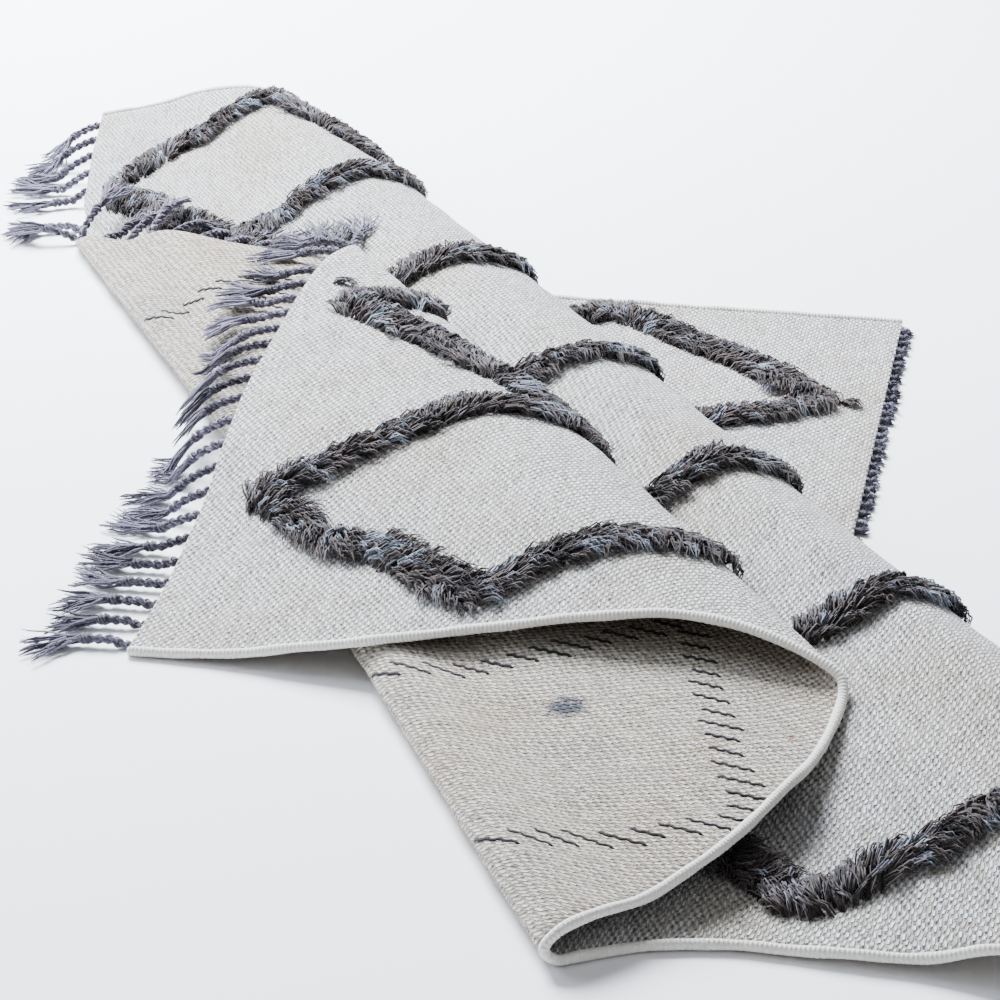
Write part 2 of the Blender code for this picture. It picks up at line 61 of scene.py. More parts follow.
# A section of the folds at each of these places, and one row for each feature of a fold.
ALONG = (1.55, 1.96, 2.27, 2.565, 2.89, 3.215, 3.58, 4.12)
LOWER_FOLD = {          # lowest layer turning back under everything, at the left
    "across": (1.135, 1.118, 1.079, 1.040, 0.997, 0.997, 0.999, 1.000),
    "top":    (0.022, 0.022, 0.026, 0.027, 0.027, 0.027, 0.027, 0.027),
}
RIDGE = {               # the loose hump at the right
    "outer":    (1.364, 1.350, 1.337, 1.330, 1.323, 1.310, 1.296, 1.283),
    "outer_up": (0.054, 0.051, 0.049, 0.049, 0.049, 0.049, 0.049, 0.049),
    "crest":    (1.303, 1.289, 1.276, 1.262, 1.249, 1.242, 1.235, 1.222),
    "crest_up": (0.089, 0.089, 0.084, 0.081, 0.081, 0.078, 0.076, 0.074),
    "slope":    (1.238, 1.238, 1.231, 1.207, 1.188, 1.175, 1.168, 1.154),
    "slope_up": (0.070, 0.070, 0.068, 0.068, 0.066, 0.064, 0.062, 0.060),
    "foot_up":  (0.034, 0.034, 0.038, 0.039, 0.039, 0.039, 0.039, 0.039),
}
LEFT_FOLD = {           # the visible fold at the left
    "outer":     (0.790, 0.817, 0.837, 0.857, 0.884, 0.894, 0.902, 0.911),
    "under_up":  (0.003, 0.003, 0.003, 0.004, 0.008, 0.006, 0.003, 0.003),
    "top":       (0.029, 0.029, 0.029, 0.030, 0.034, 0.033, 0.030, 0.030),
    "valley":    (0.898, 0.911, 0.911, 0.918, 0.945, 0.930, 0.940, 0.950),
    "valley_up": (0.030, 0.030, 0.030, 0.034, 0.039, 0.036, 0.033, 0.032),
    "bank":      (0.965, 0.972, 0.979, 0.986, 0.992, 0.970, 0.975, 0.985),
    "bank_up":   (0.039, 0.039, 0.043, 0.050, 0.060, 0.062, 0.062, 0.062),
}
ROLL = {                # the big open roll over it all
    "inner":    (1.080, 1.080, 1.080, 1.080, 1.080, 1.067, 1.067, 1.067),
    "inner_up": (0.044, 0.046, 0.053, 0.057, 0.063, 0.065, 0.065, 0.065),
    "outer":    (1.193, 1.186, 1.179, 1.175, 1.164, 1.150, 1.141, 1.134),
    "outer_up": (0.070, 0.067, 0.067, 0.072, 0.075, 0.075, 0.074, 0.074),
    "turn":     (0.016, 0.013, 0.010, 0.011, 0.011, 0.010, 0.010, 0.010),
    "crown":    (1.114, 1.114, 1.107, 1.107, 1.100, 1.094, 1.080, 1.067),
    "crown_up": (0.111, 0.103, 0.092, 0.095, 0.094, 0.090, 0.088, 0.088),
    "mid":      (1.019, 1.019, 1.013, 0.999, 0.999, 0.999, 0.999, 0.999),
    "mid_up":   (0.097, 0.086, 0.078, 0.080, 0.084, 0.084, 0.082, 0.082),
    "edge":     (0.905, 0.905, 0.905, 0.905, 0.898, 0.918, 0.932, 0.932),
    "edge_up":  (0.058, 0.051, 0.047, 0.053, 0.067, 0.072, 0.072, 0.072),
    "slope":    (0.810, 0.810, 0.810, 0.810, 0.810, 0.837, 0.837, 0.837),
    "slope_up": (0.027, 0.024, 0.023, 0.025, 0.029, 0.032, 0.032, 0.032),
}
# The folds aren't quite square to the section: the cloth creeps along them.
CREEP = {"from": (0.89, 1.51), "over": (0.22, 0.35), "by": (0.061, -0.128)}
SKEW_NEAR, SKEW_FAR = -0.094, -0.125


def ease(x):
    x = np.clip(x, 0.0, 1.0)
    return x * x * (3 - 2 * x)


def hermite(a, b, slope_a, slope_b, t):
    return ((2 * t**3 - 3 * t**2 + 1) * a + (t**3 - 2 * t**2 + t) * slope_a
            + (-2 * t**3 + 3 * t**2) * b + (t**3 - t**2) * slope_b)


def smooth_between(xs, ys, x):
    """The value at x of a smooth curve through ys, which lie at xs."""
    xs = np.asarray(xs)
    ys = np.asarray(ys)
    slopes = np.gradient(ys, xs)
    i = int(np.clip(np.searchsorted(xs, x, side="right") - 1, 0, len(xs) - 2))
    span = xs[i + 1] - xs[i]
    return hermite(ys[i], ys[i + 1], slopes[i] * span, slopes[i + 1] * span, (x - xs[i]) / span)


def section_points(along):
    """The cloth's middle line at one place, as (across, up), from the lowest layer's far end to the toe."""
    def at(table):
        return {name: float(smooth_between(ALONG, row, along)) for name, row in table.items()}
    low, ridge, left, roll = at(LOWER_FOLD), at(RIDGE), at(LEFT_FOLD), at(ROLL)
    base = FLOOR_LAYER
    turn_low = (low["top"] - base) / 2
    turn_left = (left["top"] - left["under_up"]) / 2
    start = low["across"]
    tail = ridge["outer"] - 0.047
    bend = roll["turn"]
    return [
        (2.295, base), (1.890, base), (1.620, base), (1.458, base), (1.400, base),
        (start + 0.068, base), (start + 0.016, base), (start, base + turn_low),
        (start + 0.016, low["top"]), (start + 0.068, low["top"]),
        ((start + 0.068 + tail) / 2, low["top"]), (tail, low["top"]),
        (ridge["outer"], ridge["outer_up"]), (ridge["crest"], ridge["crest_up"]),
        (ridge["slope"], ridge["slope_up"]),
        (ridge["slope"] * 0.55 + 0.486, ridge["slope_up"] * 0.35 + ridge["foot_up"] * 0.65),
        (start + 0.020, ridge["foot_up"]), (start - 0.014, ridge["foot_up"] * 0.78),
        (start - 0.048, ridge["foot_up"] * 0.30 + left["under_up"] * 0.70),
        (left["outer"] + 0.040, left["under_up"]), (left["outer"] + 0.014, left["under_up"]),
        (left["outer"], left["under_up"] + turn_left), (left["outer"] + 0.014, left["top"]),
        (left["valley"], left["valley_up"]), (left["bank"], left["bank_up"]),
        (roll["inner"], roll["inner_up"]), (roll["outer"] - 0.8 * bend, roll["outer_up"] - 0.9 * bend),
        (roll["outer"], roll["outer_up"]), (roll["outer"] - 0.8 * bend, roll["outer_up"] + 0.9 * bend),
        (roll["crown"], roll["crown_up"]), (roll["mid"], roll["mid_up"]),
        (roll["edge"], roll["edge_up"]), (roll["slope"], roll["slope_up"]),
        (0.736, base + 0.005), (0.675, base), (0.567, base), (0.270, base),
    ]


LOWER_TURN, LEFT_TURN = 7, 21   # places in that list
STEPS = 12


def smooth_line(points):
    """An even curve through the points, with STEPS points to each span."""
    p = np.asarray(points, float)
    p = np.vstack([2 * p[0] - p[1], p, 2 * p[-1] - p[-2]])
    t = np.linspace(0, 1, STEPS, endpoint=False)[:, None]
    out = []
    for i in range(1, len(p) - 2):
        before, here, there, after = p[i - 1], p[i], p[i + 1], p[i + 2]
        d0, d1, d2 = (max(np.linalg.norm(v), 1e-9) ** 0.5
                      for v in (here - before, there - here, after - there))
        m0 = ((here - before) / d0 - (there - before) / (d0 + d1) + (there - here) / d1) * d1
        m1 = ((there - here) / d1 - (after - here) / (d1 + d2) + (after - there) / d2) * d1
        out.append(hermite(here, there, m0, m1, t))
    out.append(p[-2:-1])
    return np.vstack(out)


S_GRID = np.linspace(-0.18, 2.44, 1049)
A_GRID = np.linspace(1.48, 4.20, 103)


def fold_tables():
    """Across and up for every cloth distance S (rows: places along the folds)."""
    across = np.zeros((len(A_GRID), len(S_GRID)))
    up = np.zeros_like(across)
    for k, along in enumerate(A_GRID):
        line = smooth_line(section_points(along))
        run = np.concatenate([[0.0], np.cumsum(np.hypot(*np.diff(line, axis=0).T))])
        s = line[0, 0] + BASE_SHIFT - run
        toe = slice(len(line) - 5 * STEPS, len(line))
        miss = np.interp(-FLAP_ACROSS, -line[toe, 0], s[toe])
        right, left = LOWER_TURN * STEPS, LEFT_TURN * STEPS
        s = s - miss * np.clip((run - run[right]) / (run[left] - run[right]), 0, 1)
        across[k] = np.interp(S_GRID, s[::-1], line[::-1, 0])
        up[k] = np.maximum(np.interp(S_GRID, s[::-1], line[::-1, 1]), FLOOR_LAYER)
    return across, up


ACROSS, UP = fold_tables()


def look_up(table, along, s):
    i = np.clip((along - A_GRID[0]) / (A_GRID[1] - A_GRID[0]), 0, len(A_GRID) - 1.001)
    j = np.clip((s - S_GRID[0]) / (S_GRID[1] - S_GRID[0]), 0, len(S_GRID) - 1.001)
    i0, j0 = i.astype(int), j.astype(int)
    fi, fj = i - i0, j - j0
    near = table[i0, j0] * (1 - fj) + table[i0, j0 + 1] * fj
    far = table[i0 + 1, j0] * (1 - fj) + table[i0 + 1, j0 + 1] * fj
    return near * (1 - fi) + far * fi


def creep(s, along):
    total = 0.0
    for start, over, by in zip(CREEP["from"], CREEP["over"], CREEP["by"]):
        total = total + by * ease((s - start) / over)
    skew = SKEW_NEAR + (SKEW_FAR - SKEW_NEAR) * ease((along - 2.295) / 1.08)
    return total + skew * ease((s - 0.405) / 0.23) * ease((1.026 - s) / 0.324)


def to_folds(u, v):
    """Cloth distance across the folds, and along them."""
    s = math.cos(WEAVE_TURN) * u + math.sin(WEAVE_TURN) * v
    along = -math.sin(WEAVE_TURN) * u + math.cos(WEAVE_TURN) * v + CORNER_ALONG
    return s, along


def from_folds(s, along):
    a = along - CORNER_ALONG
    return (math.cos(WEAVE_TURN) * s - math.sin(WEAVE_TURN) * a,
            math.sin(WEAVE_TURN) * s + math.cos(WEAVE_TURN) * a)


def laid(u, v, lift=0.0):
    """The cloth's middle surface where it lies, for flat places u, v."""
    u, v = np.broadcast_arrays(np.asarray(u, float), np.asarray(v, float))
    s, along = to_folds(u, v)
    n = look_up(ACROSS, along, s) - MIDDLE_ACROSS
    z = look_up(UP, along, s)
    a = along + creep(s, along) - MIDDLE_ALONG
    c, d = math.cos(FOLD_TURN), math.sin(FOLD_TURN)
    return np.stack([n * c - a * d, n * d + a * c, z + lift], -1)


def face_out(u, v, step=0.004):
    """The direction out of the rug's face (its pile side) at u, v."""
    du = laid(np.asarray(u) + step, v) - laid(np.asarray(u) - step, v)
    dv = laid(u, np.asarray(v) + step) - laid(u, np.asarray(v) - step)
    normal = np.cross(du, dv)
    return normal / np.linalg.norm(normal, axis=-1, keepdims=True)


RIPPLE = 0.00034        # each of the slack's soft waves


def slack(u, v):
    """Soft waves left in the cloth where it doesn't lie tight, as a height along its face."""
    waves = ((7.3, 3.1, 0.4), (-4.4, 8.7, 1.9), (12.1, -6.3, 2.7))
    return RIPPLE * sum(np.sin(2 * math.pi * (a * u + b * v) + c) for a, b, c in waves)


# Rows of the mesh run along the folds: close together where the cloth turns, wide on the flats.
NEAR_CORNER, FAR_CORNER = math.sin(WEAVE_TURN) * WIDTH, math.cos(WEAVE_TURN) * LENGTH
ROW_STEPS = (
    (0.0, 0.42, 0.0090), (0.42, 0.62, 0.0038), (0.62, 0.73, 0.0070), (0.73, NEAR_CORNER, 0.0042),
    (NEAR_CORNER, 1.06, 0.0045), (1.06, FAR_CORNER, 0.0055), (FAR_CORNER, 1.55, 0.0055),
    (1.55, 1.80, 0.0045), (1.80, NEAR_CORNER + FAR_CORNER, 0.0110),
)
COLUMNS = 104
EDGE_INSET = 0.0035     # the selvedge cord takes the last few millimetres


def cloth_mesh():
    """The closed cloth, and each point's flat place and side (1 on the face, 0 on the back)."""
    rows = [low + (high - low) * k / round((high - low) / step)
            for low, high, step in ROW_STEPS for k in range(round((high - low) / step))]
    rows.append(ROW_STEPS[-1][1])
    c, d = math.cos(WEAVE_TURN), math.sin(WEAVE_TURN)
    flat, index = [], []
    for r, s in enumerate(rows):
        low = CORNER_ALONG + max(-s * d / c, (c * s - LENGTH) / d)
        high = CORNER_ALONG + min(s * c / d, (WIDTH - d * s) / c)
        if r in (0, len(rows) - 1):
            index.append([len(flat)] * COLUMNS)
            flat.append(from_folds(s, (low + high) / 2))
            continue
        index.append(list(range(len(flat), len(flat) + COLUMNS)))
        flat += [from_folds(s, low + (high - low) * k / (COLUMNS - 1)) for k in range(COLUMNS)]
    flat = np.clip(np.array(flat), (0.0, EDGE_INSET), (LENGTH, WIDTH - EDGE_INSET))
    out = face_out(flat[:, 0], flat[:, 1])
    middle = laid(flat[:, 0], flat[:, 1]) + out * slack(flat[:, 0], flat[:, 1])[:, None]
    middle[:, 2] = np.maximum(middle[:, 2], FLOOR_LAYER + 0.0001)
    count = len(flat)
    points = np.vstack([middle + out * THICK / 2, middle - out * THICK / 2])
    faces = []
    for here, there in zip(index, index[1:]):
        for k in range(COLUMNS - 1):
            ring = [here[k], there[k], there[k + 1], here[k + 1]]
            ring = [p for n, p in enumerate(ring) if p != ring[n - 1]]
            faces.append(ring)
            faces.append([p + count for p in ring[::-1]])
        faces.append([here[0], here[0] + count, there[0] + count, there[0]])
        faces.append([there[-1], there[-1] + count, here[-1] + count, here[-1]])
    side = np.concatenate([np.ones(count), np.zeros(count)])
    return points, faces, np.vstack([flat, flat]), side


def outward(mesh):
    """Turns a closed mesh's faces out where they point in."""
    mesh.calc_loop_triangles()
    corners = np.array([tri.vertices for tri in mesh.loop_triangles])
    places = np.array([v.co for v in mesh.vertices])[corners]
    volume = np.einsum("ij,ij->i", places[:, 0], np.cross(places[:, 1], places[:, 2])).sum()
    if volume < 0:
        mesh.flip_normals()


points, faces, flat, side = cloth_mesh()
mesh = bpy.data.meshes.new("rug_weave")
mesh.from_pydata(points.tolist(), [], faces)
uv = mesh.uv_layers.new(name="flat")
loops = np.empty(len(mesh.loops), np.int32)
mesh.loops.foreach_get("vertex_index", loops)
uv.data.foreach_set("uv", flat[loops].ravel())
mesh.attributes.new("face_side", "FLOAT", "POINT").data.foreach_set("value", side)
mesh.shade_smooth()
mesh.update()
outward(mesh)
cloth = bpy.data.objects.new("rug_weave", mesh)
bpy.context.scene.collection.objects.link(cloth)


def linear(code):
    """A hex colour as linear values."""
    values = [int(code[i:i + 2], 16) / 255 for i in (0, 2, 4)]
    return [c / 12.92 if c <= 0.04045 else ((c + 0.055) / 1.055) ** 2.4 for c in values] + [1.0]


def node(tree, kind, settings=None, inputs=None):
    """Adds one node with its settings, and sets or links its inputs. A ramp's stops are (position, hex)."""
    made = tree.nodes.new(kind)
    for name, value in (settings or {}).items():
        if name == "stops":
            elements = made.color_ramp.elements
            elements[0].position, elements[0].color = value[0][0], linear(value[0][1])
            elements[1].position, elements[1].color = value[-1][0], linear(value[-1][1])
            for position, code in value[1:-1]:
                elements.new(position).color = linear(code)
        else:
            setattr(made, name, value)
    for key, value in (inputs or {}).items():
        if isinstance(value, bpy.types.NodeSocket):
            tree.links.new(value, made.inputs[key])
        else:
            made.inputs[key].default_value = value
    return made


def wool(name, rough=0.92, sheen=0.25):
    """A wool material: its tree and its shader, with the soft halo that loose fibres give."""
    material = bpy.data.materials.new(name)
    material.use_nodes = True
    shader = material.node_tree.nodes["Principled BSDF"]
    shader.inputs["Metallic"].default_value = 0.0
    shader.inputs["IOR"].default_value = 1.54
    shader.inputs["Specular IOR Level"].default_value = 0.25
    shader.inputs["Roughness"].default_value = rough
    shader.inputs["Sheen Weight"].default_value = sheen
    shader.inputs["Sheen Roughness"].default_value = 0.5
    return material, material.node_tree, shader


# Plain weave in hand-spun wool: each weft rises over a warp as a pale rounded nub and dives under the
# next, where the grey warp shows in a small pit, painted darker with shade. The nubs of the next weft lie
# between. Hand-spun wool is dull and hairy, so the eye gets soft highlights, uneven nubs and a few bits of
# straw.
WEFT = 0.0037           # from weft to weft
NUB = 0.0104            # from nub to nub in one weft: two warps
WANDER = (0.0050, 0.0100, 0.0)  # how far hand-laid wefts and warps stray, across and along the weft
NUB_HIGH = 0.0017
WEFT_COLOURS = ((0.0, "c8bba3"), (0.05, "bdb9b0"), (0.15, "d6d3cb"), (0.55, "e9e7e0"), (1.0, "fbfaf6"))
# The grey warp in each pit, darkened nearly to black with painted shade.
PIT_WARP_AND_SHADE_COLOURS = ((0.0, "8d8a86"), (0.25, "5f5d62"), (0.6, "3a3940"), (1.0, "1e1e23"))
BATCH_COLOURS = ((0.32, "eae2d2"), (0.5, "ffffff"), (0.68, "e2e7ee"))   # from one spinning to the next
SPUN_COLOURS = ((0.34, "b4b1ab"), (0.48, "ebe9e5"), (0.60, "ffffff"))   # thick and thin along a yarn
STRAW = "b09a78"
# Painted shade where one weft meets the next.
SEAM_SHADE = "767472"
BACK_TONE = "f1e6d6"
# Marks from use and from dye that ran: (U, V), radius, colour.
MARKS = (((0.746, 0.222), 0.026, "121926"), ((0.800, 0.108), 0.008, "9c9088"),
         ((0.706, 0.034), 0.005, "8f5a34"))

material, tree, shader = wool("hand_spun_wool_plain_weave")
place = node(tree, "ShaderNodeUVMap", {"uv_map": "flat"}).outputs["UV"]
wander = node(tree, "ShaderNodeTexNoise", None, {"Vector": place, "Scale": 70.0, "Detail": 2.0})
wander = node(tree, "ShaderNodeVectorMath", {"operation": "SUBTRACT"},
              {0: wander.outputs["Color"], 1: (0.5,) * 3})
wander = node(tree, "ShaderNodeVectorMath", {"operation": "MULTIPLY_ADD"},
              {0: wander.outputs[0], 1: WANDER, 2: place})
split = node(tree, "ShaderNodeSeparateXYZ", None, {0: wander.outputs[0]})
weft = node(tree, "ShaderNodeMath", {"operation": "DIVIDE"}, {0: split.outputs["X"], 1: WEFT}).outputs[0]
row = node(tree, "ShaderNodeMath", {"operation": "FLOOR"}, {0: weft}).outputs[0]
run = node(tree, "ShaderNodeMath", {"operation": "DIVIDE"}, {0: split.outputs["Y"], 1: NUB}).outputs[0]
run = node(tree, "ShaderNodeMath", {"operation": "MULTIPLY_ADD"}, {0: row, 1: 0.5, 2: run}).outputs[0]
column = node(tree, "ShaderNodeMath", {"operation": "FLOOR"}, {0: run}).outputs[0]
# How far a point is over its weft (0 at the seam), and how far it has risen from the pit at a nub's end.
over = node(tree, "ShaderNodeMath", {"operation": "PINGPONG"}, {0: weft, 1: 0.5}).outputs[0]
over = node(tree, "ShaderNodeMapRange", {"interpolation_type": "SMOOTHSTEP"},
            {"Value": over, "From Min": 0.0, "From Max": 0.34}).outputs[0]
rise = node(tree, "ShaderNodeMath", {"operation": "PINGPONG"}, {0: run, 1: 0.5}).outputs[0]
rise = node(tree, "ShaderNodeMapRange", {"interpolation_type": "SMOOTHSTEP"},
            {"Value": rise, "From Min": 0.12, "From Max": 0.32}).outputs[0]
# Each nub has its own shade, height and depth of pit.
cell = node(tree, "ShaderNodeCombineXYZ", None, {0: row, 1: column})
chance = node(tree, "ShaderNodeTexWhiteNoise", {"noise_dimensions": "2D"}, {"Vector": cell.outputs[0]})
chances = node(tree, "ShaderNodeSeparateColor", None, {0: chance.outputs["Color"]})
yarn = node(tree, "ShaderNodeValToRGB", {"stops": WEFT_COLOURS},
            {"Fac": chance.outputs["Value"]}).outputs["Color"]
batch = node(tree, "ShaderNodeTexNoise", None, {"Vector": place, "Scale": 5.0, "Detail": 4.0}).outputs["Fac"]
batch = node(tree, "ShaderNodeValToRGB", {"stops": BATCH_COLOURS}, {"Fac": batch}).outputs["Color"]
yarn = node(tree, "ShaderNodeMix", {"data_type": "RGBA", "blend_type": "MULTIPLY"},
            {0: 0.85, 6: yarn, 7: batch}).outputs[2]
straw = node(tree, "ShaderNodeTexNoise", None,
             {"Vector": place, "Scale": 330.0, "Detail": 2.0}).outputs["Fac"]
straw = node(tree, "ShaderNodeMapRange", {"interpolation_type": "SMOOTHSTEP"},
             {"Value": straw, "From Min": 0.66, "From Max": 0.76, "To Max": 0.55}).outputs[0]
yarn = node(tree, "ShaderNodeMix", {"data_type": "RGBA"}, {0: straw, 6: yarn, 7: linear(STRAW)}).outputs[2]
# Each weft is rounded, so painted shade darkens it towards its neighbours, and its spinning is uneven.
seam_shade = node(tree, "ShaderNodeMath", {"operation": "MULTIPLY_ADD"}, {0: over, 1: -0.62, 2: 0.62}).outputs[0]
yarn = node(tree, "ShaderNodeMix", {"data_type": "RGBA"}, {0: seam_shade, 6: yarn, 7: linear(SEAM_SHADE)}).outputs[2]
spun = node(tree, "ShaderNodeTexNoise", None,
            {"Vector": place, "Scale": 240.0, "Detail": 3.0, "Roughness": 0.7}).outputs["Fac"]
spun = node(tree, "ShaderNodeValToRGB", {"stops": SPUN_COLOURS}, {"Fac": spun}).outputs["Color"]
yarn = node(tree, "ShaderNodeMix", {"data_type": "RGBA", "blend_type": "MULTIPLY"},
            {0: 0.9, 6: yarn, 7: spun}).outputs[2]
# The pit sits in the middle of a weft, at the end of its nub; it is painted in the grey of the warp, darkened
# with shade.
pit_warp_and_shade = node(tree, "ShaderNodeValToRGB", {"stops": PIT_WARP_AND_SHADE_COLOURS},
                  {"Fac": chances.outputs[1]}).outputs["Color"]
pit = node(tree, "ShaderNodeMath", {"operation": "SUBTRACT"}, {0: 1.0, 1: rise}).outputs[0]
pit = node(tree, "ShaderNodeMath", {"operation": "MULTIPLY"}, {0: pit, 1: over}).outputs[0]
depth = node(tree, "ShaderNodeMath", {"operation": "MULTIPLY_ADD"},
             {0: chances.outputs[2], 1: 0.35, 2: 0.75}).outputs[0]
pit = node(tree, "ShaderNodeMath", {"operation": "MULTIPLY"}, {0: pit, 1: depth}).outputs[0]
side = node(tree, "ShaderNodeAttribute", {"attribute_name": "face_side"}).outputs["Fac"]
back = node(tree, "ShaderNodeMix", {"data_type": "RGBA", "blend_type": "MULTIPLY"},
            {0: 1.0, 6: yarn, 7: linear(BACK_TONE)}).outputs[2]
yarn = node(tree, "ShaderNodeMix", {"data_type": "RGBA"}, {0: side, 6: back, 7: yarn}).outputs[2]
ragged = node(tree, "ShaderNodeTexNoise", None,
              {"Vector": place, "Scale": 160.0, "Detail": 3.0}).outputs["Fac"]
for spot, radius, code in MARKS:
    far = node(tree, "ShaderNodeVectorMath", {"operation": "DISTANCE"},
               {0: place, 1: (*spot, 0.0)}).outputs["Value"]
    far = node(tree, "ShaderNodeMath", {"operation": "MULTIPLY_ADD"},
               {0: ragged, 1: radius * 1.2, 2: far}).outputs[0]
    mark = node(tree, "ShaderNodeMapRange", {"interpolation_type": "SMOOTHSTEP"},
                {"Value": far, "From Min": radius * 0.9, "From Max": radius * 1.5,
                 "To Min": 1.0, "To Max": 0.0}).outputs[0]
    yarn = node(tree, "ShaderNodeMix", {"data_type": "RGBA"}, {0: mark, 6: yarn, 7: linear(code)}).outputs[2]
colour = node(tree, "ShaderNodeMix", {"data_type": "RGBA"}, {0: pit, 6: yarn, 7: pit_warp_and_shade}).outputs[2]
tree.links.new(colour, shader.inputs["Base Color"])
height = node(tree, "ShaderNodeMath", {"operation": "MULTIPLY"}, {0: over, 1: rise}).outputs[0]
uneven = node(tree, "ShaderNodeMath", {"operation": "MULTIPLY_ADD"},
              {0: chance.outputs["Value"], 1: 0.45, 2: 0.75}).outputs[0]
height = node(tree, "ShaderNodeMath", {"operation": "MULTIPLY"}, {0: height, 1: uneven}).outputs[0]
fuzz = node(tree, "ShaderNodeTexNoise", None, {"Vector": place, "Scale": 900.0, "Detail": 2.0}).outputs["Fac"]
height = node(tree, "ShaderNodeMath", {"operation": "MULTIPLY_ADD"}, {0: fuzz, 1: 0.35, 2: height}).outputs[0]
bump = node(tree, "ShaderNodeBump", None, {"Height": height, "Strength": 1.0, "Distance": NUB_HIGH})
tree.links.new(bump.outputs["Normal"], shader.inputs["Normal"])
mesh.materials.append(material)
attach(cloth, "root")
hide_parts("rug_cloth")

# ==== The selvedges ====
# At each side the wefts turn back round the outermost warps, which makes a smooth white cord.
# It is the same undyed wool, 9 mm thick, and is woven with the cloth.
CORD_RADIUS = 0.0044
CORD_RISE = 0.0015      # of its middle over the cloth's


def spun_yarn_tree():
    """Geometry nodes that give every line of a mesh a round yarn, as thick as each point says."""
    tree = bpy.data.node_groups.new("spun_yarn", "GeometryNodeTree")
    face = tree.interface
    face.new_socket("Lines", in_out="INPUT", socket_type="NodeSocketGeometry")
    face.new_socket("Sides", in_out="INPUT", socket_type="NodeSocketInt")
    face.new_socket("Wool", in_out="INPUT", socket_type="NodeSocketMaterial")
    face.new_socket("Yarns", in_out="OUTPUT", socket_type="NodeSocketGeometry")
    given = node(tree, "NodeGroupInput")
    line = node(tree, "GeometryNodeMeshToCurve", None, {"Mesh": given.outputs["Lines"]}).outputs[0]
    ring = node(tree, "GeometryNodeCurvePrimitiveCircle", {"mode": "RADIUS"},
                {"Resolution": given.outputs["Sides"], "Radius": 1.0}).outputs[0]
    thick = node(tree, "GeometryNodeInputNamedAttribute", {"data_type": "FLOAT"},
                 {"Name": "thick"}).outputs[0]
    tube = node(tree, "GeometryNodeCurveToMesh", None,
                {"Curve": line, "Profile Curve": ring, "Scale": thick, "Fill Caps": True}).outputs[0]
    smooth = node(tree, "GeometryNodeSetShadeSmooth", None, {"Geometry": tube}).outputs[0]
    real = node(tree, "GeometryNodeRealizeInstances", None, {"Geometry": smooth}).outputs[0]
    dressed = node(tree, "GeometryNodeSetMaterial", None,
                   {"Geometry": real, "Material": given.outputs["Wool"]}).outputs[0]
    node(tree, "NodeGroupOutput", None, {"Yarns": dressed})
    return tree


SPUN_YARN = spun_yarn_tree()


def spin(name, lines, sides, material):
    """One mesh of yarns. Each line is (points, radii, tint, start); start is how much yarn came before it."""
    points = np.vstack([line[0] for line in lines])
    radii = np.concatenate([np.broadcast_to(line[1], len(line[0])) for line in lines])
    tints = np.concatenate([np.full(len(line[0]), line[2]) for line in lines])
    runs, edges, first = [], [], 0
    for line in lines:
        count = len(line[0])
        steps = np.linalg.norm(np.diff(line[0], axis=0), axis=1)
        runs.append(line[3] + np.concatenate([[0.0], np.cumsum(steps)]))
        edges.append(np.stack([np.arange(count - 1), np.arange(1, count)], -1) + first)
        first += count
    mesh = bpy.data.meshes.new(name)
    mesh.from_pydata(points.tolist(), np.vstack(edges).tolist(), [])
    for key, values in (("thick", radii), ("tint", tints), ("run", np.concatenate(runs))):
        mesh.attributes.new(key, "FLOAT", "POINT").data.foreach_set("value", values.astype(np.float32))
    lines_object = bpy.data.objects.new(name + "_lines", mesh)
    bpy.context.scene.collection.objects.link(lines_object)
    modifier = lines_object.modifiers.new("yarn", "NODES")
    modifier.node_group = SPUN_YARN
    sockets = {item.name: item.identifier for item in SPUN_YARN.interface.items_tree
               if item.in_out == "INPUT"}
    modifier[sockets["Sides"]] = sides
    modifier[sockets["Wool"]] = material
    graph = bpy.context.evaluated_depsgraph_get()
    made = bpy.data.meshes.new_from_object(lines_object.evaluated_get(graph))
    bpy.data.objects.remove(lines_object)
    made.name = name
    outward(made)
    piece = bpy.data.objects.new(name, made)
    bpy.context.scene.collection.objects.link(piece)
    return piece


def yarn_material(name, colours, band, bump_depth, sheen=0.3, painted_root_shade=0.0):
    """Wool yarn, dull and fibrous: tint picks its colour, and its plies make a band every BAND metres."""
    material, tree, shader = wool(name, sheen=sheen)
    tint = node(tree, "ShaderNodeAttribute", {"attribute_name": "tint"}).outputs["Fac"]
    run = node(tree, "ShaderNodeAttribute", {"attribute_name": "run"}).outputs["Fac"]
    where = node(tree, "ShaderNodeTexCoord").outputs["Object"]
    streak = node(tree, "ShaderNodeTexNoise", None,
                  {"Vector": where, "Scale": 420.0, "Detail": 3.0}).outputs["Fac"]
    mixed = node(tree, "ShaderNodeMath", {"operation": "MULTIPLY_ADD"},
                 {0: streak, 1: 0.5, 2: tint}).outputs[0]
    # Painted shade: the tint rises along each yarn from its root, so roots are darker and tips paler.
    mixed = node(tree, "ShaderNodeMath", {"operation": "MULTIPLY_ADD"},
                 {0: run, 1: painted_root_shade, 2: mixed}).outputs[0]
    mixed = node(tree, "ShaderNodeMath", {"operation": "SUBTRACT"},
                 {0: mixed, 1: 0.25 + painted_root_shade * 0.014}).outputs[0]
    ramp = node(tree, "ShaderNodeValToRGB", {"stops": colours}, {"Fac": mixed})
    tree.links.new(ramp.outputs["Color"], shader.inputs["Base Color"])
    turns = node(tree, "ShaderNodeMath", {"operation": "DIVIDE"}, {0: run, 1: band}).outputs[0]
    turns = node(tree, "ShaderNodeMath", {"operation": "PINGPONG"}, {0: turns, 1: 0.5}).outputs[0]
    height = node(tree, "ShaderNodeMath", {"operation": "MULTIPLY_ADD"},
                  {0: streak, 1: 0.6, 2: turns}).outputs[0]
    bump = node(tree, "ShaderNodeBump", None, {"Height": height, "Strength": 0.8, "Distance": bump_depth})
    tree.links.new(bump.outputs["Normal"], shader.inputs["Normal"])
    return material


